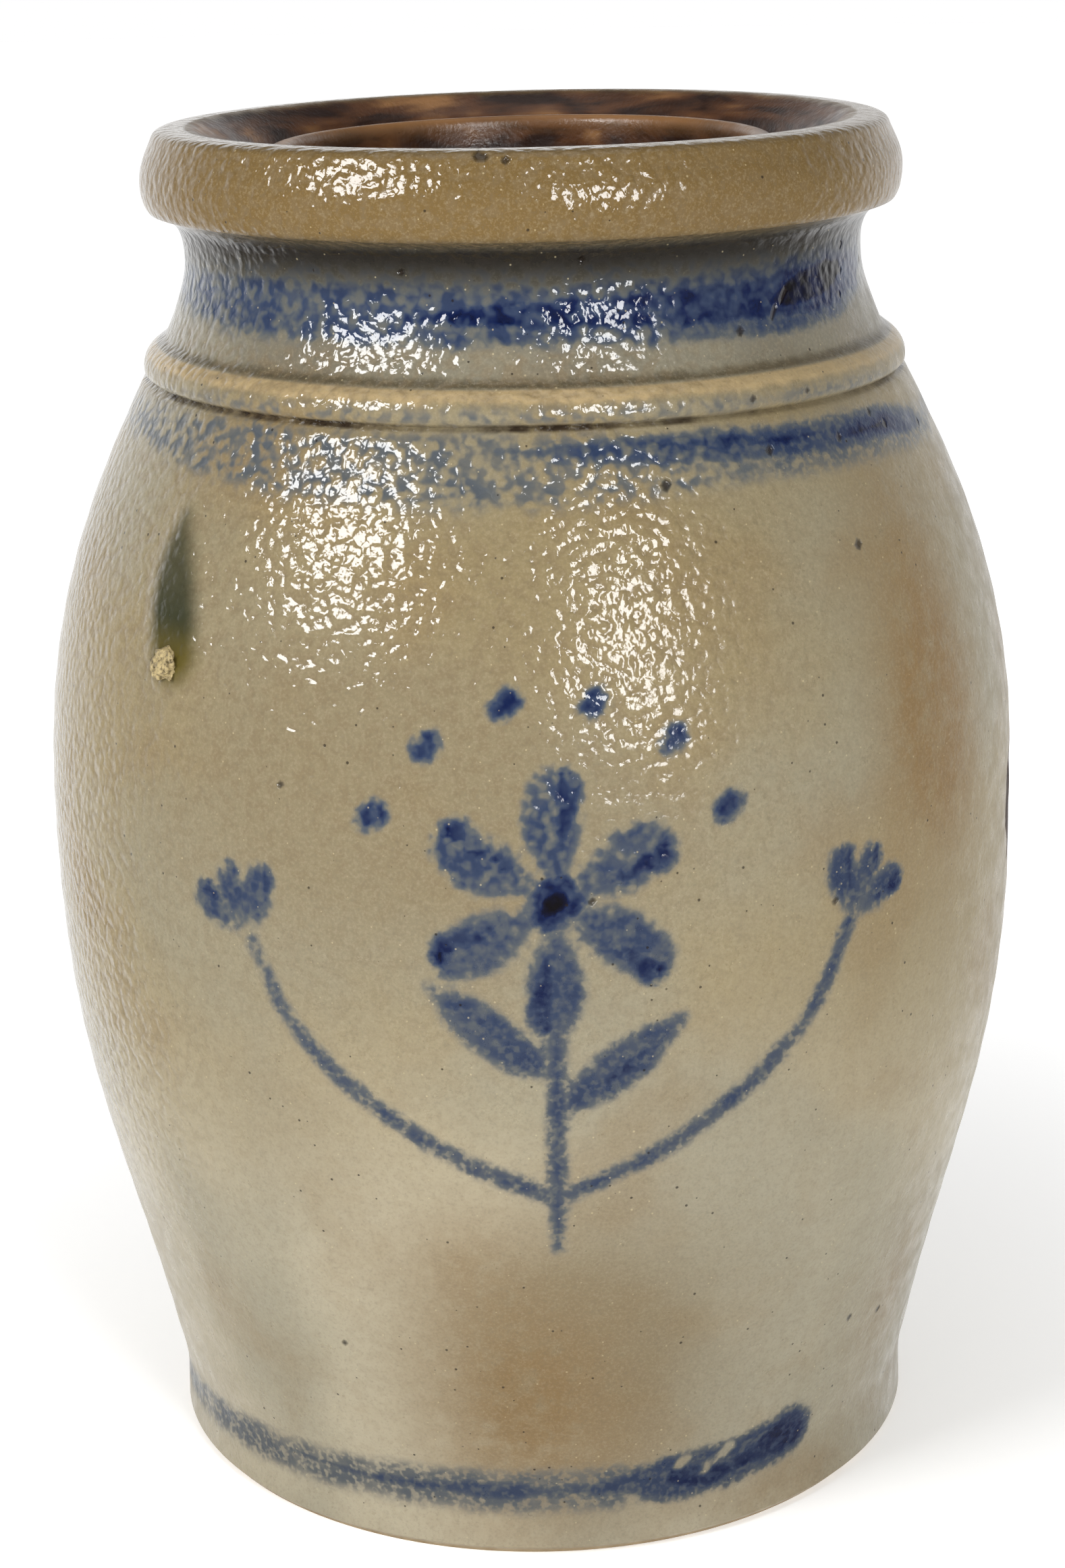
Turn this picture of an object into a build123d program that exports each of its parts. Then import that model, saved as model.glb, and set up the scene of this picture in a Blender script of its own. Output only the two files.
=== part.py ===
from build123d import *
import os

# An open ovoid stoneware fermenting crock with a water-seal gutter in its mouth,
# and the pair of half-moon weights that lie inside it. Millimetres, +Z up.
# The origin is the centre of the base, on the surface that the crock stands on.

# Driving dimensions of the crock
height = 305.0
foot_radius = 87.3
foot_height = 14.0
foot_edge = 2.0
belly_radius = 110.5
belly_height = 150.0
wall = 9.0
floor_height = 11.0

# Shoulder lines: an incised groove, then a raised bead, then the crease of the neck
groove_height = 250.8
groove_radius = 83.6
groove_top_radius = 84.8
bead_top_height = 257.6
bead_top_radius = 82.2
crease_height = 259.6
crease_radius = 79.6

# Neck and rolled rim
neck_radius = 74.6
neck_height = 278.0
rim_radius = 83.4
rim_bottom = 287.5
rim_crest_radius = 76.0
rim_inner_radius = 70.5

# Water-seal gutter between the rim and the throat ring
gutter_outer_radius = 63.8
gutter_inner_radius = 57.0
gutter_floor = 283.0
gutter_fillet = 2.4
gutter_lip_height = 300.2

# Throat ring: its rounded lip stands a little lower than the rim
throat_radius = 50.0
throat_bottom = 279.0
throat_top = 298.0
lip_radius = 52.8
lip_height = 300.8

# Half-moon weights: each passes flat through the throat
weight_radius = 47.0
weight_thickness = 28.0
weight_gap = 2.0
weight_edge = 3.0
finger_hole_radius = 9.5
finger_hole_offset = 20.0

# Heights and radii of the thrown wall between the foot and the groove
outer_wall = [
    (foot_radius, foot_height),
    (90.5, 30.0),
    (95.2, 50.0),
    (106.8, 100.0),
    (belly_radius, belly_height),
    (107.3, 190.0),
    (98.9, 220.0),
    (85.3, groove_height - 1.3),
]

# The inside of the same wall, from under the throat ring down to the floor
inner_wall = [
    (66.0, 268.0),
    (77.5, 246.0),
    (107.3 - wall, 190.0),
    (belly_radius - wall, belly_height),
    (106.8 - wall, 100.0),
    (95.2 - wall, 50.0),
    (81.0, 24.0),
]
floor_radius = 69.0

with BuildPart() as crock_body:
    with BuildSketch(Plane.XZ):
        with BuildLine():
            # Base and foot
            Line((0, 0), (foot_radius - foot_edge, 0))
            Line((foot_radius - foot_edge, 0), (foot_radius, foot_edge))
            Line((foot_radius, foot_edge), outer_wall[0])
            # Belly, up to the incised groove
            Spline(*outer_wall, tangents=[(0.2, 1), (-0.50, 1)])
            Line(outer_wall[-1], (groove_radius, groove_height))
            Line((groove_radius, groove_height), (groove_top_radius, groove_height + 1.2))
            # Bead and crease
            ThreePointArc(
                (groove_top_radius, groove_height + 1.2),
                (groove_top_radius - 0.5, groove_height + 4.4),
                (bead_top_radius, bead_top_height),
            )
            Line((bead_top_radius, bead_top_height), (crease_radius, crease_height))
            # Neck, sweeping out under the rim
            Spline(
                (crease_radius, crease_height),
                (neck_radius + 1.2, neck_height - 8.5),
                (neck_radius, neck_height),
                (neck_radius + 2.3, neck_height + 7.0),
                (rim_radius - 1.4, rim_bottom),
                tangents=[(-0.45, 1), (1, 0.35)],
            )
            # Rolled rim, from its lower edge over the crest to its inner edge
            Spline(
                (rim_radius - 1.4, rim_bottom),
                (rim_radius, rim_bottom + 4.0),
                (rim_radius - 0.4, height - 7.5),
                (rim_radius - 2.4, height - 2.8),
                (rim_crest_radius, height),
                tangents=[(0.7, 1), (-1, 0)],
            )
            Spline(
                (rim_crest_radius, height),
                (rim_inner_radius + 1.0, height - 0.3),
                (rim_inner_radius - 1.2, height - 1.6),
                (gutter_outer_radius + 1.2, gutter_lip_height),
                tangents=[(-1, 0), (-1, -0.85)],
            )
            # Gutter wall, floor and the outside of the throat ring
            Line(
                (gutter_outer_radius + 1.2, gutter_lip_height),
                (gutter_outer_radius, gutter_lip_height - 2.6),
            )
            FilletPolyline(
                (gutter_outer_radius, gutter_lip_height - 2.6),
                (gutter_outer_radius, gutter_floor),
                (gutter_inner_radius, gutter_floor),
                (gutter_inner_radius - 0.4, throat_top - 2.0),
                radius=gutter_fillet,
            )
            # Rounded lip and straight wall of the throat
            Spline(
                (gutter_inner_radius - 0.4, throat_top - 2.0),
                (gutter_inner_radius - 1.6, lip_height - 1.1),
                (lip_radius, lip_height),
                (throat_radius, throat_top),
                tangents=[(-0.03, 1), (0, -1)],
            )
            Line((throat_radius, throat_top), (throat_radius, throat_bottom))
            # Underside of the ring, down the inside of the wall to the floor
            Spline(
                (throat_radius, throat_bottom),
                (throat_radius + 3.0, throat_bottom - 3.4),
                inner_wall[0],
                tangents=[(0, -1), (0.75, -1)],
            )
            Spline(*inner_wall, tangents=[(0.75, -1), (-0.30, -1)])
            Spline(
                inner_wall[-1],
                (floor_radius, floor_height),
                tangents=[(-0.30, -1), (-1, 0)],
            )
            Line((floor_radius, floor_height), (0, floor_height))
            Line((0, floor_height), (0, 0))
        make_face()
    revolve(axis=Axis.Z)

crock_body.part.label = "crock_body"


def half_moon(side):
    """One weight: the half of a disc on the given side (-1 or +1) of the YZ plane."""
    with BuildPart() as weight:
        with BuildSketch(Plane.XY.offset(floor_height)):
            Circle(weight_radius)
            with Locations((-side * (weight_radius - weight_gap / 2), 0)):
                Rectangle(2 * weight_radius, 2 * weight_radius, mode=Mode.SUBTRACT)
        extrude(amount=weight_thickness)
        fillet(weight.edges(), radius=weight_edge)
        with Locations((side * finger_hole_offset, 0, floor_height + weight_thickness)):
            Hole(finger_hole_radius)
    return weight.part


weights = {"weight_left": half_moon(-1), "weight_right": half_moon(1)}

os.makedirs("parts", exist_ok=True)
export_step(crock_body.part, "parts/crock_body.step")
for name, piece in weights.items():
    piece.label = name
    export_step(piece, f"parts/{name}.step")
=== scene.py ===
"""An open, salt-glazed stoneware fermenting crock with blue brushwork, and its two weights."""

import math

import bmesh
import bpy
import numpy as np
from mathutils import Matrix, Vector, noise


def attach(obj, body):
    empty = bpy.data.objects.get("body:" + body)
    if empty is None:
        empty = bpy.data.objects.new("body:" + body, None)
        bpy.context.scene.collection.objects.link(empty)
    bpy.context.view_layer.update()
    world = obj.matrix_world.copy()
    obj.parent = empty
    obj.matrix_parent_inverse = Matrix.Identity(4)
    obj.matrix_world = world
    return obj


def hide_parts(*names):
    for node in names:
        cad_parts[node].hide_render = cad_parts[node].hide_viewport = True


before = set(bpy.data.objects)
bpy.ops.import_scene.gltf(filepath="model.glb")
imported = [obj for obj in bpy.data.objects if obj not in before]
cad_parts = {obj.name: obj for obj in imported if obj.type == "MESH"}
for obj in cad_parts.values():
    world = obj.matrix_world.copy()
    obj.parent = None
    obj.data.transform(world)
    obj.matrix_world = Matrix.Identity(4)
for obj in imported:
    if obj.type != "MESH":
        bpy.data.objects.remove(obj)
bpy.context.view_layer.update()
scene = bpy.context.scene

MM = 0.001
SEED = 11

# ---------------------------------------------------------------- camera and light

# The eye stands in front of the crock, a little above the rim, and looks down on the belly.
CAMERA_PLACE = (0.0, -0.6806, 0.3595)
CAMERA_PITCH = 16.98
CAMERA_ROLL = -1.11
LENS = 69.93

# A softbox: name, azimuth and elevation seen from the crock, distance, width, height, watts
SOFTBOXES = [
    ("key_left", -51, 31, 1.25, 0.50, 0.32, 9.4),
    ("key_right", 23, 20, 1.25, 0.26, 0.52, 7.4),
]
LIGHT_TARGET = (0.0, 0.0, 0.20)
# The studio is white behind the crock, dim behind the camera and overhead, with a skylight straight above
FRONT_WORLD, BACK_WORLD, CEILING_WORLD, SKYLIGHT = 0.20, 1.05, 0.10, 0.7


def make_camera():
    """A camera at the photograph's place, turned by its pitch and roll."""
    pitch, roll = math.radians(CAMERA_PITCH), math.radians(CAMERA_ROLL)
    forward = Vector((0, math.cos(pitch), -math.sin(pitch)))
    level_up = Vector((0, math.sin(pitch), math.cos(pitch)))
    level_right = Vector((1, 0, 0))
    right = level_right * math.cos(roll) + level_up * math.sin(roll)
    up = level_up * math.cos(roll) - level_right * math.sin(roll)
    data = bpy.data.cameras.new("camera")
    data.lens = LENS
    data.sensor_width = 36
    data.clip_start = 0.05
    camera = bpy.data.objects.new("camera", data)
    scene.collection.objects.link(camera)
    camera.matrix_world = Matrix.Translation(CAMERA_PLACE) @ Matrix(
        (right, up, -forward)
    ).transposed().to_4x4()
    scene.camera = camera


def make_softbox(name, azimuth, elevation, distance, width, height, watts):
    """A rectangular area light that looks at the crock."""
    a, e = math.radians(azimuth), math.radians(elevation)
    out = Vector((math.sin(a) * math.cos(e), -math.cos(a) * math.cos(e), math.sin(e)))
    data = bpy.data.lights.new(name, "AREA")
    data.shape = "RECTANGLE"
    data.size, data.size_y = width, height
    data.energy = watts
    light = bpy.data.objects.new(name, data)
    scene.collection.objects.link(light)
    light.location = Vector(LIGHT_TARGET) + out * distance
    light.rotation_mode = "QUATERNION"
    light.rotation_quaternion = (-out).to_track_quat("-Z", "Y")


def make_world():
    """A studio that is white behind the crock and dim behind the camera."""
    world = bpy.data.worlds.new("studio")
    world.use_nodes = True
    tree = world.node_tree
    direction = tree.nodes.new("ShaderNodeTexCoord").outputs["Generated"]
    split = tree.nodes.new("ShaderNodeSeparateXYZ")
    tree.links.new(direction, split.inputs[0])

    def turn(axis, start, end, first, last):
        """A smooth change from first to last while one part of the direction goes from start to end."""
        node = tree.nodes.new("ShaderNodeMapRange")
        node.interpolation_type = "SMOOTHSTEP"
        tree.links.new(split.outputs[axis], node.inputs["Value"])
        for socket, value in zip(("From Min", "From Max", "To Min", "To Max"), (start, end, first, last)):
            if isinstance(value, bpy.types.NodeSocket):
                tree.links.new(value, node.inputs[socket])
            else:
                node.inputs[socket].default_value = value
        return node.outputs[0]

    walls = turn("Y", 0.10, 0.75, FRONT_WORLD, BACK_WORLD)
    background = tree.nodes["Background"]
    background.inputs["Color"].default_value = (1, 1, 1, 1)
    ceiling = turn("Z", 0.15, 0.7, walls, CEILING_WORLD)
    tree.links.new(turn("Z", 0.86, 0.96, ceiling, SKYLIGHT), background.inputs["Strength"])
    scene.world = world
    scene.view_settings.view_transform = "Standard"


# ---------------------------------------------------------------- node helpers


def srgb(red, green, blue):
    """A colour of 0 to 255 display values, as the linear colour that a shader takes."""
    def linear(v):
        v /= 255
        return v / 12.92 if v <= 0.04045 else ((v + 0.055) / 1.055) ** 2.4
    return (linear(red), linear(green), linear(blue), 1)


class Shader:
    """A material's node tree, with short ways to add what this scene uses."""

    def __init__(self, name, **finish):
        self.material = bpy.data.materials.new(name)
        self.material.use_nodes = True
        self.tree = self.material.node_tree
        self.surface = self.tree.nodes["Principled BSDF"]
        for socket, value in finish.items():
            self.surface.inputs[socket.replace("_", " ")].default_value = value
        self.place = self.add("ShaderNodeTexCoord").outputs["Object"]

    def add(self, kind, inputs=(), **settings):
        """A node with its settings and its inputs, each a value or another node's output."""
        node = self.tree.nodes.new(kind)
        for key, value in settings.items():
            setattr(node, key, value)
        for key, value in dict(inputs).items():
            self.feed(node.inputs[key], value)
        return node

    def feed(self, socket, value):
        if isinstance(value, bpy.types.NodeSocket):
            self.tree.links.new(value, socket)
        else:
            socket.default_value = value

    def attribute(self, name):
        return self.add("ShaderNodeAttribute", attribute_name=name).outputs["Fac"]

    def maths(self, operation, a, b=0.0, clamp=False):
        inputs = {0: a, 1: b}
        return self.add("ShaderNodeMath", inputs, operation=operation, use_clamp=clamp).outputs[0]

    def step(self, value, low, high, to_low=0.0, to_high=1.0):
        """A smooth step of value, from to_low at low to to_high at high."""
        inputs = {"Value": value, "From Min": low, "From Max": high, "To Min": to_low, "To Max": to_high}
        return self.add("ShaderNodeMapRange", inputs, interpolation_type="SMOOTHSTEP").outputs[0]

    def blend(self, factor, a, b, mode="MIX"):
        """Colour a turning into colour b."""
        node = self.add("ShaderNodeMix", data_type="RGBA", blend_type=mode)
        self.feed(node.inputs[0], factor)
        self.feed(node.inputs[6], a)
        self.feed(node.inputs[7], b)
        return node.outputs[2]

    def stretched(self, x, y, z):
        inputs = {0: self.place, 1: (x, y, z)}
        return self.add("ShaderNodeVectorMath", inputs, operation="MULTIPLY").outputs[0]

    def noise(self, size_mm, detail=2.0, roughness=0.5, distortion=0.0, place=None):
        """Noise from 0 to 1 whose lumps are about size_mm across."""
        inputs = {
            "Vector": place or self.place,
            "Scale": 1000 / size_mm,
            "Detail": detail,
            "Roughness": roughness,
            "Distortion": distortion,
        }
        return self.add("ShaderNodeTexNoise", inputs).outputs["Fac"]

    def cells(self, size_mm, feature="SMOOTH_F1", output="Distance", randomness=1.0, place=None):
        """Voronoi cells about size_mm across."""
        node = self.add("ShaderNodeTexVoronoi", feature=feature)
        self.feed(node.inputs["Vector"], place or self.place)
        self.feed(node.inputs["Scale"], 1000 / size_mm)
        self.feed(node.inputs["Randomness"], randomness)
        return node.outputs[output]

    def bump(self, height_mm, below=None):
        """A bump from a height in millimetres, on top of another bump."""
        inputs = {"Height": height_mm, "Distance": MM, "Strength": 1.0}
        if below is not None:
            inputs["Normal"] = below
        return self.add("ShaderNodeBump", inputs).outputs["Normal"]

    def finish(self, colour, roughness, normal):
        self.feed(self.surface.inputs["Base Color"], colour)
        self.feed(self.surface.inputs["Roughness"], roughness)
        self.feed(self.surface.inputs["Normal"], normal)
        return self.material


# ---------------------------------------------------------------- the crock's outline


def seam_outline(node):
    """The (radius, height) outline of a revolved CAD node in mm, from its base edge over the rim
    to its floor edge, read from the mesh along +X."""
    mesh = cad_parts[node].data
    points = np.array([v.co for v in mesh.vertices])
    on_seam = (np.abs(points[:, 1]) < 1e-6) & (points[:, 0] > -1e-6)
    places, number = {}, {}
    for i in np.nonzero(on_seam)[0]:
        key = tuple(np.round(points[i] * 1e7).astype(int))
        number[i] = places.setdefault(key, len(places))
    place = {n: np.array((k[0], k[2])) / 1e4 for k, n in places.items()}
    beside = {n: set() for n in place}
    for edge in mesh.edges:
        a, b = edge.vertices
        if on_seam[a] and on_seam[b] and number[a] != number[b]:
            beside[number[a]].add(number[b])
            beside[number[b]].add(number[a])
    ends = [n for n in beside if len(beside[n]) == 1]
    walk = [min(ends, key=lambda n: place[n][1])]
    before = None
    while True:
        onward = [n for n in beside[walk[-1]] if n != before]
        if not onward or len(walk) > len(place):
            return np.array([place[n] for n in walk])
        before = walk[-1]
        walk.append(onward[0])


def smooth_outline(points, spacing, corner_degrees=18):
    """The outline drawn again through the same points: smooth between its corners, with points
    about spacing(point) apart."""
    step = np.diff(points, axis=0)
    length = np.linalg.norm(step, axis=1)
    unit = step / length[:, None]
    turn = np.degrees(np.arccos(np.clip((unit[1:] * unit[:-1]).sum(1), -1, 1)))
    corners = [0, *(np.nonzero(turn > corner_degrees)[0] + 1), len(points) - 1]
    made = [points[:1]]
    for first, last in zip(corners[:-1], corners[1:]):
        section, h, slope = points[first:last + 1], length[first:last], unit[first:last]
        tangent = np.empty_like(section)
        tangent[0], tangent[-1] = slope[0], slope[-1]
        if len(section) > 2:
            weight = (h[:-1] / (h[1:] + h[:-1]))[:, None]
            tangent[1:-1] = slope[1:] * weight + slope[:-1] * (1 - weight)
        for k in range(len(h)):
            count = max(1, math.ceil(h[k] / spacing(section[k])))
            t = (np.arange(count) + 1)[:, None] / count
            a, b, ta, tb = section[k], section[k + 1], tangent[k] * h[k], tangent[k + 1] * h[k]
            made.append(
                (2 * t**3 - 3 * t**2 + 1) * a
                + (t**3 - 2 * t**2 + t) * ta
                + (3 * t**2 - 2 * t**3) * b
                + (t**3 - t**2) * tb
            )
    return np.concatenate(made)


OUTLINE = seam_outline("crock_body")
CREST = int(OUTLINE[:, 1].argmax())
BELLY_RADIUS = OUTLINE[:, 0].max()
RING = OUTLINE[CREST:][OUTLINE[CREST:, 0] < 57]
LIP_RADIUS = RING[RING[:, 1].argmax(), 0]
FINE, MIDDLE, COARSE = 1.8, 2.0, 7.0


def spacing_at(point):
    """Close rows outside and round the mouth, and wide rows inside the belly."""
    index = np.abs(OUTLINE - point).sum(1).argmin()
    if index <= CREST:
        return FINE
    return MIDDLE if point[1] > 272 else COARSE


ROWS = smooth_outline(OUTLINE, spacing_at)
ROW_CREST = int(ROWS[:, 1].argmax())

# Azimuth is measured from the front, -Y, and grows towards +X. Columns are closer on the front.
FRONT_HALF = 85.0
FRONT_STEP, BACK_STEP = 1.0, 2.5
front_columns = np.arange(-FRONT_HALF, FRONT_HALF, FRONT_STEP)
back_columns = np.arange(FRONT_HALF, 360 - FRONT_HALF, BACK_STEP)
COLUMNS = np.concatenate([front_columns, back_columns])

# The outside wall up to the crest, for placing what is on it: height to radius and to path length
OUTSIDE = ROWS[:ROW_CREST + 1]
PATH = np.concatenate([[0], np.cumsum(np.linalg.norm(np.diff(ROWS, axis=0), axis=1))])
OUTSIDE_HEIGHTS = np.maximum.accumulate(OUTSIDE[:, 1]) + np.arange(len(OUTSIDE)) * 1e-7


def path_at(height):
    return np.interp(height, OUTSIDE_HEIGHTS, PATH[:ROW_CREST + 1])


def radius_at(height):
    return np.interp(height, OUTSIDE_HEIGHTS, OUTSIDE[:, 0])


def on_wall(azimuth, height, out_mm=0.0):
    """The point of the outside wall at an azimuth in degrees and a height in mm, in metres."""
    a, r = math.radians(azimuth), (radius_at(height) + out_mm) * MM
    return Vector((r * math.sin(a), -r * math.cos(a), height * MM))


# ---------------------------------------------------------------- brushwork

# The plain bands of the crock, and a generic sprig in place of its painting. Each stroke is a list
# of (azimuth in degrees, height in mm, half width in mm). Faint is a breath of cobalt, wash a thin
# coat, blue a full brush, and pool is where it ran thick.
FAINT = [
    # neck, shoulder and foot
    [(-88, 274, 7), (-55, 273, 9), (-20, 274, 9), (20, 275, 8), (60, 275, 8), (86, 276, 6)],
    [(-66, 245, 5), (-45, 244, 7), (-20, 243, 8), (5, 243, 8), (25, 243, 6), (50, 243, 6), (76, 240, 4)],
    [(-92, 9, 3), (-70, 12, 4), (-50, 14, 5), (-30, 15, 5), (-10, 16, 6), (10, 16, 6)],
    [(-66, 252.6, 0.5), (-40, 252.8, 1.6), (0, 253, 2), (40, 253, 1.6), (70, 252.6, 0.8)],
    # the same bands, thinner and broken, round the back
    [(86, 276, 6), (110, 275, 5), (140, 273, 6), (165, 275, 4), (184, 274, 5)],
    [(-184, 274, 5), (-160, 273, 6), (-130, 275, 5), (-108, 274, 6), (-88, 274, 6)],
    [(76, 241, 3), (100, 242, 2.4), (125, 243, 3.4), (150, 243, 2), (184, 243, 3)],
    [(-184, 243, 3), (-150, 244, 4), (-120, 243, 2.4), (-90, 244, 4), (-62, 245, 5)],
    [(-184, 12, 2), (-150, 11, 3.4), (-120, 12, 2.4), (-92, 9, 3)],
    [(118, 14, 1.5), (140, 13, 3), (160, 12, 2.4), (184, 12, 2)],
]
WASH = [
    [(-84, 273, 4), (-55, 272, 6), (-20, 272, 6.5), (25, 272, 7), (45, 272, 8), (62, 274, 8), (74, 276, 5)],
    [(-4, 246, 1.5), (12, 246, 3), (30, 245, 3.6), (50, 244, 4), (64, 243, 3.4), (72, 241, 2)],
    [(-42, 15, 1), (-24, 15.5, 1.4), (-8, 16, 2.8), (8, 16, 2.2), (18, 16.5, 6), (28, 17, 6), (38, 20, 7)],
]
BLUE = [
    [(-24, 271, 1.2), (0, 272, 3.4), (22, 272, 4.4), (40, 272, 5), (56, 273, 6), (70, 274, 4.6)],
    [(14, 246, 1), (26, 246, 1.8), (42, 244.5, 1.7), (58, 243.5, 2.8), (67, 241.5, 1.6)],
    [(19, 17, 3), (24, 15, 3.6), (29, 16, 2.6), (38, 20, 6)],
]
POOL = [
    [(42, 270.5, 1.6), (49, 272.5, 4), (57, 274, 4.4), (63, 275, 2.6)],
    [(49, 244, 1.2), (59, 243, 2)],
]
# Bare patches where the cobalt was thrown off in the base band
RESIST = [(20, 20, 1.8), (24, 17, 1.6), (27, 20.5, 2)]

# The sprig: a six-petalled flower on a stem, a bud and a leaf on each side, and a fan of dots
FLOWER = (2, 160)
STEM = [(2, 82, 1.4), (2, 104, 2), (2, 138, 1.8)]
BUD_TURN, BUD_HEIGHT, BUD_DIRECTION, BUD_SIZE = 34, 148, 66, 0.6
PETALS = 6
DOT_REACH, DOT_SIZE = 41, 2.7
MM_PER_DEGREE = math.radians(BELLY_RADIUS)


def away(place, degrees, reach):
    """The place reach mm from another, in a direction counted from the right, on the unrolled belly."""
    a = math.radians(degrees)
    return place[0] + reach * math.cos(a) / MM_PER_DEGREE, place[1] + reach * math.sin(a)


def brush(place, degrees, touches):
    """A straight stroke from a place. The touches are pairs of reach and half width, in mm."""
    return [(*away(place, degrees, reach), width) for reach, width in touches]


def paint_petal(place, degrees, size):
    """One petal: a wash, fuller blue along its clockwise side, and a pool at its tip."""
    wash = [(7 * size, 2.4 * size), (16 * size, 6 * size), (23 * size, 5 * size)]
    blue = [(10 * size, 0.8), (18 * size, 2.4 * size), (24 * size, 3 * size)]
    WASH.append(brush(place, degrees, wash))
    BLUE.append(brush(place, degrees - 8, blue))
    POOL.append(brush(place, degrees - 5, [(23 * size, 0.4), (26 * size, 1.8 * size)]))


def paint_leaf(place, degrees):
    """A long pointed leaf with a darker vein."""
    WASH.append(brush(place, degrees, [(2, 1), (11, 4.4), (22, 4.6), (33, 1)]))
    BLUE.append(brush(place, degrees - 3, [(5, 0.8), (17, 1.6), (29, 0.8)]))


def paint_side(side):
    """The bud, its stem and the leaf on the left (-1) or the right (+1) of the main stem."""
    middle = FLOWER[0]
    bud = (middle + side * BUD_TURN, BUD_HEIGHT)
    upright = 90 - side * (90 - BUD_DIRECTION)
    for spread in (-34, 0, 34):
        paint_petal(bud, upright + spread, BUD_SIZE)
    foot, bend = (middle, 94, 1.6), (middle + side * 15, 108, 1.8)
    WASH.append([foot, bend, (middle + side * 28, 128, 1.8), (*bud, 1.6)])
    paint_leaf((middle, 118 - 4 * side), 90 - side * 52)


for petal in range(PETALS):
    paint_petal(FLOWER, 90 + petal * 360 / PETALS, 1.0)
for side in (-1, 1):
    paint_side(side)
WASH.append(STEM)
DOTS = [(*away(FLOWER, degrees, DOT_REACH), DOT_SIZE) for degrees in range(25, 156, 26)]
DARK_DOTS = [(*FLOWER, 3.6)] + [(azimuth, height, 1.4) for azimuth, height, _ in DOTS]
DOTS.append((*FLOWER, 6))

FAR = 8.0  # mm: a stroke isn't measured further away than this
NARROWEST = 70.0  # mm: the wall has no smaller radius where it is painted
STEP_PER_DEGREE = 1.9  # mm: about one degree round the belly, for the spacing of a stroke's points

# Burst bubbles and small chips: azimuth, height, half width
PITS = [
    (-6, 304, 1), (-4.5, 303.9, 0.8), (-2, 303.4, 0.9), (42, 268, 0.7), (43.5, 269.5, 0.8),
    (45, 270.5, 0.8), (46.5, 272, 1), (35, 267, 1), (64, 274, 0.9), (64.5, 280, 1), (62, 270, 0.8),
    (77, 274, 1), (-19, 281, 0.8), (9, 282.5, 0.7), (34, 244, 1.1), (47, 244, 1), (18, 239, 1.2),
    (56, 247, 1), (59, 243, 1), (71, 240, 0.9), (33, 254, 0.8), (43, 254, 0.8), (44, 223, 1.2),
    (34.5, 154, 0.9), (6.5, 160.5, 0.8), (-28, 182, 0.7), (-27, 52, 0.7), (47, 45, 0.9), (55, 41, 0.9),
]


def curve_through(stroke, step_mm=1.0):
    """Points along a smooth curve through a stroke's places: azimuth, height and half width."""
    p = np.array(stroke, float)
    if len(p) == 1:
        return p
    p = np.vstack([2 * p[0] - p[1], p, 2 * p[-1] - p[-2]])
    made = []
    for a, b, c, d in zip(p[:-3], p[1:-2], p[2:-1], p[3:]):
        count = max(2, int(math.hypot((c[0] - b[0]) * STEP_PER_DEGREE, c[1] - b[1]) / step_mm))
        t = np.linspace(0, 1, count, endpoint=False)[:, None]
        made.append(0.5 * (2 * b + (c - a) * t + (2 * a - 5 * b + 4 * c - d) * t**2
                           + (3 * b - a - 3 * c + d) * t**3))
    made.append(p[-2:-1])
    return np.concatenate(made)


def inside_by(strokes, azimuth, height):
    """How far inside the nearest stroke each place is, in mm: below 0 outside it."""
    radius, path = radius_at(height), path_at(height)
    best = np.full(azimuth.shape, -FAR)
    for stroke in strokes:
        line = curve_through(stroke)
        reach = FAR + line[:, 2].max()
        degrees = math.degrees(reach / NARROWEST)
        near = (
            (azimuth > line[:, 0].min() - degrees) & (azimuth < line[:, 0].max() + degrees)
            & (height > line[:, 1].min() - reach) & (height < line[:, 1].max() + reach)
        )
        if not near.any():
            continue
        across = np.radians(azimuth[near][:, None] - line[:, 0]) * radius[near][:, None]
        along = path[near][:, None] - path_at(line[:, 1])
        depth = (line[:, 2] - np.hypot(across, along)).max(1)
        best[near] = np.maximum(best[near], depth)
    return best


def spots(places):
    """Round touches of the brush, each pulled a little upwards to the right."""
    return [[(a - 0.5, h - 0.8, w * 0.85), (a + 0.5, h + 0.8, w * 0.85)] for a, h, w in places]


def patch(azimuth, height, centre, size, sharp=1.0):
    """A soft oval, 1 at its centre and 0 outside. size is half its width in degrees and half its
    height in mm."""
    d = np.hypot((azimuth - centre[0]) / size[0], (height - centre[1]) / size[1])
    return np.clip((1 - d) * sharp, 0, 1) ** 1.5


def pitted(places, azimuth, height):
    """How far inside a pit each point is, in mm. A pit sits on the nearest point, so none is lost."""
    best = np.full(azimuth.shape, -FAR)
    a, radius = np.radians(azimuth), radius_at(height)
    for pit_azimuth, pit_height, size in places:
        nearest = np.hypot((a - math.radians(pit_azimuth)) * radius, height - pit_height).argmin()
        distance = np.hypot((a - a[nearest]) * radius, height - height[nearest])
        best = np.maximum(best, size - distance)
    return best


# ---------------------------------------------------------------- things fused to the wall

DRIP = [(-48, 230, 3), (-47.4, 221, 7), (-46, 211, 8.6), (-44.8, 204, 8.4)]
PEBBLE = (-45.4, 201.5)
SCAR_CENTRE, SCAR_SIZE = (80.5, 153), (10.5, 24)


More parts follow.
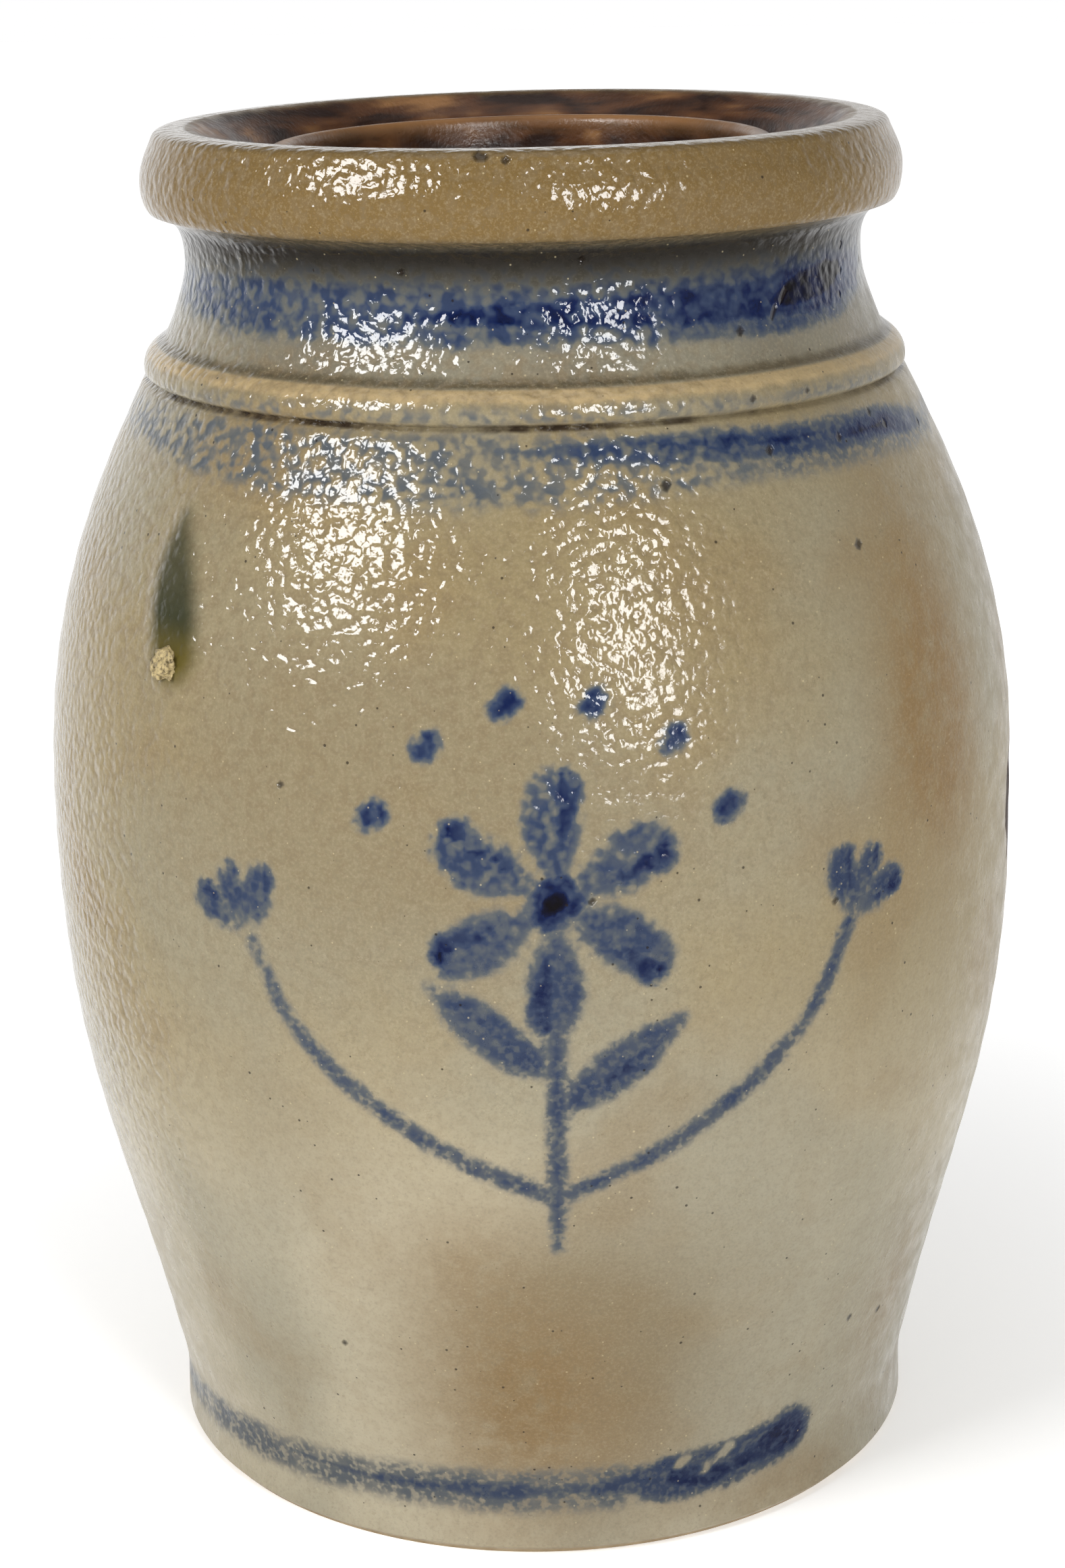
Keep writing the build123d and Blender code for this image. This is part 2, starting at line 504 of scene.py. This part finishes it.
def relief(azimuth, height, drip):
    """How far the outside stands from the true solid, in mm. Only the drip stands outwards."""
    a = np.radians(azimuth)
    spiral = np.sin(2 * math.pi * (height + azimuth * 0.03) / 11.0 + 0.7 * np.sin(3 * a))
    ridges = 0.05 * (spiral - 1) * np.clip((height - 6) / 20, 0, 1)
    oval = -0.35 * (1 + np.cos(2 * a + 0.6))
    soft = 0.07 * (np.sin(5 * a + height / 23) - 1) * np.sin(height / 31) ** 2
    raised = 0.9 * np.clip((drip + 2.0) / 7.0, 0, 1) ** 0.8
    scar = -0.5 * np.clip(2 * patch(azimuth, height, SCAR_CENTRE, SCAR_SIZE), 0, 1)
    return (ridges + oval + soft) * np.clip(height / 4, 0, 1) + raised + scar


def rim_drop(azimuth, height):
    """The thrown rim isn't quite level: it dips, in mm, more towards the top."""
    a = np.radians(azimuth)
    dip = 0.35 * (1 - np.cos(a - 1.9)) + 0.15 * (1 - np.cos(2 * a + 0.8))
    return dip * np.clip((height - 262) / 30, 0, 1)


def ochre_flush(azimuth, height):
    """Where the clay flushed brown in the kiln."""
    ochre = (
        1.3 * patch(azimuth, height, (52, 195), (16, 70))
        + 0.7 * patch(azimuth, height, (51, 180), (14, 34))
        + 0.9 * patch(azimuth, height, (-2, 40), (26, 62), 1.2)
        + 0.4 * patch(azimuth, height, (-10, 78), (14, 26))
        + 0.5 * patch(azimuth, height, (40, 6), (18, 14), 1.5)
        + 0.7 * patch(azimuth, height, (-42, 242), (20, 16))
        + 0.5 * patch(azimuth, height, (58, 45), (14, 40))
        + 0.6 * patch(azimuth, height, (140, 90), (40, 80))
        + 0.5 * patch(azimuth, height, (100, 205), (34, 44))
        + 0.5 * patch(azimuth, height, (-130, 190), (30, 50))
        + 0.5 * patch(azimuth, height, (-105, 60), (30, 50))
        + 0.9 * patch(azimuth, height, (62, 292), (48, 22), 1.5)
    )
    return np.clip(ochre, 0, 1)


def olive_smoke(azimuth, height):
    """Where smoke left the clay darker and olive."""
    olive = (
        1.0 * patch(azimuth, height, (-16, 182), (48, 62), 1.5)
        + 0.5 * patch(azimuth, height, (-30, 108), (26, 44))
        + 1.0 * patch(azimuth, height, (4, 54), (34, 56), 1.5)
        + 0.5 * patch(azimuth, height, (170, 200), (60, 60))
    )
    return np.clip(olive, 0, 1)


def coarseness(azimuth, height):
    """How coarse the orange peel is: fine below and to the right, coarse above and round the back."""
    coarse = np.clip((height - 95) / 120, 0, 1) * np.clip((48 - azimuth) / 40, 0, 1)
    coarse = np.maximum(coarse, np.clip((-azimuth - 30) / 30, 0, 1) * np.clip((height - 40) / 80, 0, 1))
    behind = np.clip((np.abs(azimuth) - 60) / 40, 0, 1)
    coarse = np.maximum(coarse, 0.6 * behind * np.clip(height / 120, 0, 1))
    coarse = np.maximum(coarse, 0.55 * np.clip((height - 262) / 8, 0, 1))
    return np.clip(coarse, 0, 1)


def make_crock():
    """The crock as a fine lathe mesh on the CAD outline. What its material needs is stored at its
    points."""
    rows, columns = len(ROWS), len(COLUMNS)
    azimuth = np.tile(np.where(COLUMNS > 180, COLUMNS - 360, COLUMNS), rows)
    radius = np.repeat(ROWS[:, 0], columns)
    height = np.repeat(ROWS[:, 1], columns)
    path = np.repeat(PATH, columns)
    row = np.repeat(np.arange(rows), columns)
    outside = row <= ROW_CREST
    on_front = np.where(outside, height, -1e3)

    drip = inside_by([DRIP], azimuth, on_front)
    fade = np.clip((PATH[ROW_CREST] - path) / 6, 0, 1) * outside
    radius = radius + relief(azimuth, height, drip) * fade
    level = height - rim_drop(azimuth, height)
    a = np.radians(azimuth)
    points = np.stack([radius * np.sin(a), -radius * np.cos(a), level], 1)
    caps = np.array([(0, 0, ROWS[0, 1]), (0, 0, ROWS[-1, 1])])
    points = np.vstack([points, caps]) * MM

    i, j = np.meshgrid(np.arange(rows - 1), np.arange(columns), indexing="ij")
    k = (j + 1) % columns
    quads = np.stack([i * columns + j, i * columns + k, (i + 1) * columns + k, (i + 1) * columns + j], -1)
    under, floor = rows * columns, rows * columns + 1
    last = (rows - 1) * columns
    faces = quads.reshape(-1, 4).tolist()
    faces += [(under, (n + 1) % columns, n) for n in range(columns)]
    faces += [(floor, last + n, last + (n + 1) % columns) for n in range(columns)]

    mesh = bpy.data.meshes.new("crock")
    mesh.from_pydata(points.tolist(), [], faces)
    mesh.shade_smooth()
    mesh.set_sharp_from_angle(angle=math.radians(42))

    lip_highlight_band = np.clip(1.2 - np.abs(radius - LIP_RADIUS) / 3, 0, 1)
    fields = {
        "faint": inside_by(FAINT, azimuth, on_front),
        "wash": inside_by(WASH, azimuth, on_front),
        "blue": inside_by(BLUE + spots(DOTS), azimuth, on_front),
        "pool": inside_by(POOL + spots(DARK_DOTS), azimuth, on_front),
        "resist": inside_by(spots(RESIST), azimuth, on_front),
        "pit": pitted(PITS, azimuth, on_front),
        "drip": drip,
        "scar": patch(azimuth, height, SCAR_CENTRE, SCAR_SIZE, 1.6) * outside,
        "ochre": ochre_flush(azimuth, height) * outside,
        "olive": olive_smoke(azimuth, height) * outside,
        "coarse": coarseness(azimuth, height) * outside,
        "level": height,
        "slip": path - PATH[ROW_CREST],
        # A painted highlight: a tan band along the ring's lip, high inside the mouth
        "lip": lip_highlight_band * np.clip((height - 297) / 3, 0, 1) * ~outside,
    }
    for name, values in fields.items():
        ends = [values[0], values[-1]]
        layer = mesh.attributes.new(name, "FLOAT", "POINT")
        layer.data.foreach_set("value", np.concatenate([values, ends]).astype(np.float32))

    crock = bpy.data.objects.new("crock", mesh)
    scene.collection.objects.link(crock)
    mesh.materials.append(stoneware())
    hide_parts("crock_body")
    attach(crock, "crock")


# ---------------------------------------------------------------- materials

# Clay under the glaze, from the pale lower belly to the olive shoulder, neck and rim, with painted shade
# for the crease above the bead, the upper neck and under the rim
CLAY_LOW = srgb(172, 162, 138)
CLAY_BELLY = srgb(145, 131, 99)
CLAY_HIGH = srgb(136, 121, 88)
CLAY_OLIVE = srgb(128, 115, 88)
CLAY_NECK = srgb(108, 102, 88)
CLAY_GREY = srgb(140, 135, 116)
CLAY_RIM = srgb(110, 88, 50)
OCHRE = srgb(128, 102, 62)
BEAD = srgb(172, 150, 110)
# Painted shade for the crease between the bead and the neck
CREASE_PAINTED_SHADE = srgb(82, 73, 54)
# Partly the neck's darker glaze tone, partly painted shade from the overhanging rim
NECK_TONE_AND_PAINTED_SHADE = srgb(78, 75, 64)
# Painted shadow: near-black for the band just under the rim's overhang
UNDER_RIM_PAINTED_SHADOW = srgb(26, 22, 18)
# Darker along the incised line on the shoulder
INCISED_LINE_DARK = srgb(46, 36, 28)
# Cobalt, from a thin wash to a pool
COBALT = [
    (0.00, srgb(120, 116, 104)),
    (0.26, srgb(84, 88, 90)),
    (0.48, srgb(48, 60, 84)),
    (0.74, srgb(10, 25, 64)),
    (0.88, srgb(5, 9, 36)),
    (1.00, srgb(6, 3, 7)),
]
SLIP_DARK = srgb(38, 20, 12)
SLIP = srgb(84, 52, 30)
SLIP_TAN = srgb(150, 108, 66)
DRIP_GREEN = srgb(34, 40, 22)
DRIP_OLIVE = srgb(84, 74, 30)
BARE_CLAY = srgb(186, 168, 136)
SCAR_BROWN = srgb(44, 30, 24)
SCAR_RUST = srgb(84, 56, 38)
SPECK = srgb(34, 26, 20)
GRAIN = srgb(206, 190, 150)


def orange_peel(s):
    """Rounded lumps about 2.5 mm apart with irregular valleys: low in a valley, near 1 on a lump."""
    jitter = s.add("ShaderNodeTexNoise", {"Vector": s.place, "Scale": 1000 / 4.0, "Detail": 1.0})
    most = (0.0032,) * 3
    shift = s.add("ShaderNodeVectorMath", {0: jitter.outputs["Color"], 1: most}, operation="MULTIPLY")
    place = s.add("ShaderNodeVectorMath", {0: s.place, 1: shift.outputs[0]}, operation="ADD").outputs[0]
    cell = s.cells(2.5, "F1", place=place)
    dome = s.maths("SUBTRACT", 1.0, s.maths("MULTIPLY", s.maths("MULTIPLY", cell, cell), 1.5))
    wave = s.noise(2.1, detail=0.6)
    return s.maths("ADD", s.maths("MULTIPLY", dome, 0.25), s.maths("MULTIPLY", wave, 0.95))


def cobalt(s, peel, coarse):
    """How thick the cobalt lies, from 0 to 1."""
    edge = s.maths("MULTIPLY", s.maths("SUBTRACT", s.noise(2.6, detail=3, roughness=0.6), 0.5), 1.8)
    drift = s.maths("MULTIPLY", s.maths("SUBTRACT", s.noise(11, detail=2), 0.5), 2.2)
    rough_edge = s.maths("ADD", edge, drift)

    def layer(name, ragged, soft, most):
        return s.step(s.maths("ADD", s.attribute(name), ragged), -soft, soft, 0.0, most)

    faint = layer("faint", rough_edge, 3.0, 0.27)
    wash = s.maths("MAXIMUM", faint, layer("wash", rough_edge, 2.2, 0.50))
    blue = layer("blue", rough_edge, 2.0, 0.76)
    pool = layer("pool", s.maths("MULTIPLY", edge, 0.7), 2.2, 1.0)
    thick = s.maths("MAXIMUM", s.maths("MAXIMUM", wash, blue), pool)
    broad = s.step(s.noise(7, detail=3), 0.3, 0.7, 0.8, 1.12)
    freckle = s.step(s.noise(1.5, detail=1.5), 0.44, 0.66, 0.0, 0.42)
    lump = s.step(peel, 0.46, 0.84, 0.0, 0.72)
    mixed = s.add("ShaderNodeMix", data_type="FLOAT")
    s.feed(mixed.inputs[0], s.step(coarse, 0.15, 0.75))
    s.feed(mixed.inputs[2], freckle)
    s.feed(mixed.inputs[3], lump)
    through = mixed.outputs[0]
    through = s.maths("MULTIPLY", through, s.step(thick, 0.26, 0.56, 1.0, 0.74))
    through = s.maths("MULTIPLY", through, s.step(thick, 0.66, 0.95, 1.0, 0.15))
    resist = s.step(s.maths("ADD", s.attribute("resist"), edge), -0.8, 0.8, 0.0, 0.8)
    left = s.maths("SUBTRACT", 1.0, s.maths("MAXIMUM", through, resist))
    return s.maths("MULTIPLY", s.maths("MULTIPLY", thick, broad), left, clamp=True)


def clay_colour(s, level, coarse, peel, small, big):
    """The clay seen through clear glaze: zones by height, kiln flushes, the bead, valleys and sand, with
    painted shade in the crease above the bead and, partly, on the upper neck.
    """
    broad = s.noise(85, detail=3)
    clay = s.blend(s.step(level, 70, 150), CLAY_LOW, CLAY_BELLY)
    clay = s.blend(s.step(level, 150, 235), clay, CLAY_HIGH)
    clay = s.blend(s.step(level, 252, 262), clay, CLAY_NECK)
    clay = s.blend(s.maths("MULTIPLY", s.step(broad, 0.42, 0.62), 0.6), clay, CLAY_GREY)
    smoked = s.maths("MULTIPLY", s.attribute("olive"), s.step(broad, 0.3, 0.6, 0.5, 0.85))
    clay = s.blend(smoked, clay, CLAY_OLIVE)
    flush = s.maths("MULTIPLY", s.attribute("ochre"), s.step(small, 0.25, 0.6, 0.5, 1.0))
    clay = s.blend(flush, clay, OCHRE)
    stain = s.maths("MULTIPLY", s.step(big, 0.48, 0.72), 0.35)
    clay = s.blend(stain, clay, OCHRE)
    # The neck darkens upwards: partly its glaze tone, partly painted shade from the rim
    clay = s.blend(s.step(level, 263.5, 273), clay, NECK_TONE_AND_PAINTED_SHADE)
    clay = s.blend(s.step(level, 284.5, 289), clay, CLAY_RIM)
    wavy = s.maths("ADD", level, s.maths("MULTIPLY", s.maths("SUBTRACT", small, 0.5), 2.4))
    tan = s.maths("MULTIPLY", s.step(wavy, 252.5, 255.5), s.step(level, 257.6, 258.2, 1, 0))
    clay = s.blend(s.maths("MULTIPLY", tan, 0.6), clay, CLAY_HIGH)
    bead = s.maths("MULTIPLY", s.step(wavy, 254.8, 256.3), s.step(level, 257.6, 258.2, 1, 0))
    clay = s.blend(s.maths("MULTIPLY", bead, s.step(small, 0.25, 0.6, 0.7, 1)), clay, BEAD)
    # Painted shade in the crease between the neck and the bead
    crease_painted_shade = s.maths("MULTIPLY", s.step(level, 257.9, 258.6), s.step(wavy, 258.8, 260.4, 1, 0))
    clay = s.blend(s.maths("MULTIPLY", crease_painted_shade, 0.9), clay, CREASE_PAINTED_SHADE)
    valley = s.step(peel, 0.45, 0.7, 1, 0)
    darker = s.maths("MULTIPLY", valley, s.step(coarse, 0, 1, 0.10, 0.38))
    clay = s.blend(darker, clay, s.blend(0.5, CLAY_NECK, OCHRE))
    sand = s.noise(0.7, detail=3, roughness=0.7)
    clay = s.blend(s.step(sand, 0.45, 0.70, 0.0, 0.20), clay, CLAY_LOW)
    clay = s.blend(s.step(sand, 0.30, 0.50, 0.26, 0.0), clay, CLAY_NECK)
    return clay


def slip_brown(s, big):
    """Brown slip, dark in its streaks, with tan streaks and a painted tan highlight along the lip of the
    ring.
    """
    bearing = s.add("ShaderNodeVectorMath", {0: s.stretched(1, 1, 0)}, operation="NORMALIZE").outputs[0]
    along = s.add("ShaderNodeCombineXYZ", {"Z": s.maths("MULTIPLY", s.attribute("slip"), 0.001)}).outputs[0]
    scaled = s.add("ShaderNodeVectorMath", {0: bearing, 1: (0.022,) * 3}, operation="MULTIPLY").outputs[0]
    ringed = s.add("ShaderNodeVectorMath", {0: scaled, 1: along}, operation="ADD").outputs[0]
    streaks = s.noise(8, detail=3, roughness=0.55, distortion=0.3, place=ringed)
    brown = s.blend(s.step(streaks, 0.36, 0.56), SLIP_DARK, SLIP)
    # Tan streaks in the slip, and a painted tan highlight along the ring's lip
    tan_streaks_and_lip_highlight = s.maths("MAXIMUM", s.attribute("lip"), s.step(streaks, 0.52, 0.74))
    return s.blend(s.maths("MULTIPLY", tan_streaks_and_lip_highlight, s.step(big, 0.3, 0.6, 0.55, 1.0)), brown, SLIP_TAN)


def stoneware():
    """Salt-glazed stoneware outside, brown slip inside, bare clay underneath."""
    s = Shader("salt_glazed_stoneware", IOR=1.5)
    level, coarse = s.attribute("level"), s.attribute("coarse")
    peel = orange_peel(s)
    fine = s.noise(1.0, detail=2.0)
    big = s.noise(34, detail=4)
    small = s.noise(5, detail=4, roughness=0.6)

    clay = clay_colour(s, level, coarse, peel, small, big)

    # Cobalt
    thick = cobalt(s, peel, coarse)
    ramp = s.add("ShaderNodeValToRGB", {"Fac": thick})
    stops = ramp.color_ramp.elements
    while len(stops) < len(COBALT):
        stops.new(0.5)
    for stop, (place, colour) in zip(stops, COBALT):
        stop.position, stop.color = place, colour
    colour = s.blend(s.step(thick, 0.0, 0.30), clay, ramp.outputs["Color"])

    # Painted shadow under the rim, a darker incised line, iron specks, pale grains, the green run and the
    # scar
    under = s.maths("MULTIPLY", s.step(level, 273.0, 283.6), s.step(level, 284.2, 287.4, 1, 0))
    colour = s.blend(s.maths("MULTIPLY", under, 0.93), colour, UNDER_RIM_PAINTED_SHADOW)
    line = s.maths("MULTIPLY", s.step(level, 249.7, 250.4), s.step(level, 251.0, 251.7, 1, 0))
    line = s.maths("MULTIPLY", line, s.step(big, 0.36, 0.52, 0.25, 1.0))
    colour = s.blend(s.maths("MULTIPLY", line, s.step(small, 0.3, 0.6, 0.35, 0.95)), colour, INCISED_LINE_DARK)
    pit = s.step(s.maths("ADD", s.attribute("pit"), s.maths("MULTIPLY", small, 0.9)), 0.1, 1.1)
    colour = s.blend(s.maths("MULTIPLY", pit, 0.8), colour, SPECK)
    some = s.step(s.noise(14), 0.42, 0.66)
    speck_cells = s.maths("SUBTRACT", s.cells(3.4, "F1"), s.maths("MULTIPLY", some, 0.07))
    speck = s.step(speck_cells, 0.005, 0.035, 1, 0)
    grain_cells = s.cells(2.9, "F1", place=s.stretched(1.02, 0.97, 1.0))
    grain = s.maths("SUBTRACT", grain_cells, s.maths("MULTIPLY", big, 0.12))
    colour = s.blend(s.maths("MULTIPLY", speck, 0.75), colour, SPECK)
    colour = s.blend(s.step(grain, -0.02, 0.03, 0.4, 0), colour, GRAIN)
    run = s.step(s.maths("ADD", s.attribute("drip"), s.maths("MULTIPLY", small, 2)), -0.6, 6.0)
    run = s.maths("MULTIPLY", run, s.step(level, 200, 226, 1.0, 0.8))
    colour = s.blend(run, colour, s.blend(s.step(level, 203, 212), DRIP_OLIVE, DRIP_GREEN))
    uneven = s.maths("ADD", s.maths("MULTIPLY", small, 0.6), s.maths("MULTIPLY", s.noise(14), 1.0))
    scar_edge = s.maths("ADD", s.attribute("scar"), uneven)
    scar = s.step(scar_edge, 1.10, 1.36)
    scorched = s.maths("MULTIPLY", s.step(scar_edge, 0.75, 1.3), s.step(s.attribute("scar"), 0, 0.1))
    colour = s.blend(s.maths("MULTIPLY", scorched, 0.5), colour, OCHRE)
    colour = s.blend(scar, colour, s.blend(s.step(fine, 0.45, 0.7), SCAR_BROWN, SCAR_RUST))

    # Brown slip over the crest and inside
    inside = s.step(s.maths("ADD", s.attribute("slip"), s.maths("MULTIPLY", small, 4)), 2.0, 6.0)
    colour = s.blend(inside, colour, slip_brown(s, big))

    # Unglazed underside
    glazed = s.step(level, 0.3, 2.5)
    colour = s.blend(glazed, s.blend(s.noise(5, detail=4), BARE_CLAY, OCHRE), colour)

    # Relief in mm, then gloss: a wet shine above, satin below and to the right
    patchy = s.step(big, 0.3, 0.7, 0.7, 1.15)
    peel_mm = s.maths("MULTIPLY", peel, s.maths("MULTIPLY", s.step(coarse, 0, 1, 0.09, 0.52), patchy))
    peel_mm = s.maths("MULTIPLY", peel_mm, s.step(inside, 0, 1, 1.0, 0.2))
    fine_mm = s.maths("MULTIPLY", fine, s.step(coarse, 0, 1, 0.11, 0.06))
    pits_mm = s.maths("ADD", s.maths("MULTIPLY", speck, -0.12), s.maths("MULTIPLY", pit, -0.6))
    normal = s.bump(s.maths("ADD", s.maths("ADD", peel_mm, fine_mm), pits_mm))
    rough = s.maths("MULTIPLY", s.step(coarse, 0, 1, 0.34, 0.07), s.step(small, 0.3, 0.7, 0.8, 1.3))
    rough = s.maths("MULTIPLY", rough, s.step(run, 0, 1, 1.0, 0.5))
    rough = s.maths("ADD", rough, s.step(scar, 0, 1, 0, 0.4))
    rough = s.maths("ADD", rough, s.step(glazed, 0, 1, 0.5, 0), clamp=True)
    return s.finish(colour, rough, normal)


def bare_stoneware():
    """Unglazed fired clay: matt, grainy, with a few iron specks and darker water marks."""
    s = Shader("bare_stoneware", IOR=1.48)
    grain = s.noise(0.9, detail=4, roughness=0.65)
    cloud = s.noise(22, detail=4)
    colour = s.blend(s.step(cloud, 0.35, 0.65), srgb(196, 176, 142), srgb(170, 146, 110))
    colour = s.blend(s.maths("MULTIPLY", s.step(grain, 0.5, 0.75), 0.45), colour, srgb(128, 108, 82))
    speck = s.step(s.cells(3.6, "F1"), 0.08, 0.13, 1, 0)
    colour = s.blend(s.maths("MULTIPLY", speck, 0.75), colour, srgb(70, 48, 34))
    turning = s.noise(2.2, detail=2, place=s.stretched(1, 1, 0.35))
    height = s.maths("ADD", s.maths("MULTIPLY", grain, 0.10), s.maths("MULTIPLY", turning, 0.12))
    return s.finish(colour, s.step(grain, 0.2, 0.8, 0.62, 0.85), s.bump(height))


def pebble_stone():
    """A crumb of kiln brick, glazed over in parts."""
    s = Shader("kiln_pebble", IOR=1.5)
    crumb = s.noise(1.1, detail=4, roughness=0.7)
    colour = s.blend(s.step(crumb, 0.35, 0.6), srgb(92, 78, 48), srgb(188, 168, 120))
    return s.finish(colour, s.step(crumb, 0.3, 0.7, 0.25, 0.6), s.bump(s.maths("MULTIPLY", crumb, 0.5)))


def paper():
    """The matt white sweep that the crock stands on. It gives off a light of its own, stronger away
    from the crock, so that it renders white there."""
    s = Shader("white_paper", Emission_Color=(1, 1, 1, 1))
    away = s.add("ShaderNodeVectorMath", {0: s.place}, operation="LENGTH").outputs["Value"]
    s.feed(s.surface.inputs["Emission Strength"], s.step(away, 0.08, 0.42, 0.34, 0.8))
    fibre = s.noise(3, detail=3)
    colour = s.blend(fibre, srgb(248, 248, 248), srgb(252, 252, 252))
    return s.finish(colour, s.step(fibre, 0, 1, 0.85, 0.95), s.bump(s.maths("MULTIPLY", fibre, 0.02)))


# ---------------------------------------------------------------- the other pieces


def make_pebble():
    """The crumb that fell into the green run and stuck."""
    mesh = bpy.data.meshes.new("kiln_pebble")
    sphere = bpy.data.objects.new("kiln_pebble", mesh)
    bm = bmesh.new()
    bmesh.ops.create_icosphere(bm, subdivisions=4, radius=1)
    noise.seed_set(SEED)
    centre = on_wall(*PEBBLE, out_mm=0.7)
    a = math.radians(PEBBLE[0])
    out = Vector((math.sin(a), -math.cos(a), 0.25)).normalized()
    side = Vector((math.cos(a), math.sin(a), 0))
    top = out.cross(side)
    for v in bm.verts:
        d = v.co.normalized()
        lump = 1 + 0.45 * noise.noise(d * 1.7) + 0.18 * noise.noise(d * 5)
        p = d * lump
        v.co = centre + (side * p.x * 3.6 + top * p.y * 3.0 + out * p.z * 1.5) * MM
    bm.to_mesh(mesh)
    bm.free()
    mesh.shade_smooth()
    scene.collection.objects.link(sphere)
    mesh.materials.append(pebble_stone())
    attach(sphere, "crock")


def finish_weights():
    """The weights are the CAD's own shapes, in bare stoneware."""
    material = bare_stoneware()
    for name in ("weight_left", "weight_right"):
        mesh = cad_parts[name].data
        mesh.materials.clear()
        mesh.materials.append(material)


def make_floor():
    """The sweep. Reflections don't show it, because the glaze mirrors a dim room."""
    mesh = bpy.data.meshes.new("floor")
    half = 60.0
    corners = [(-half, -half, 0), (half, -half, 0), (half, half, 0), (-half, half, 0)]
    mesh.from_pydata(corners, [], [(0, 1, 2, 3)])
    floor = bpy.data.objects.new("floor", mesh)
    scene.collection.objects.link(floor)
    mesh.materials.append(paper())
    floor.visible_glossy = False


def make_backdrop(radius=6.0, height=5.0, sides=96):
    """A white wall all round, seen by the camera only: the lights and reflections pass through it."""
    turns = [2 * math.pi * n / sides for n in range(sides)]
    ring = [(radius * math.cos(t), radius * math.sin(t)) for t in turns]
    points = [(x, y, z) for z in (-0.02, height) for x, y in ring]
    faces = [(n, (n + 1) % sides, sides + (n + 1) % sides, sides + n) for n in range(sides)]
    mesh = bpy.data.meshes.new("backdrop")
    mesh.from_pydata(points, [], faces)
    backdrop = bpy.data.objects.new("backdrop", mesh)
    scene.collection.objects.link(backdrop)
    s = Shader("backdrop_white", Emission_Color=(1, 1, 1, 1), Emission_Strength=1.0, Roughness=1.0)
    s.surface.inputs["Base Color"].default_value = (0, 0, 0, 1)
    mesh.materials.append(s.material)
    backdrop.visible_diffuse = False
    backdrop.visible_glossy = False
    backdrop.visible_transmission = False
    backdrop.visible_shadow = False


make_camera()
make_world()
for softbox in SOFTBOXES:
    make_softbox(*softbox)
make_floor()
make_backdrop()
make_crock()
make_pebble()
finish_weights()
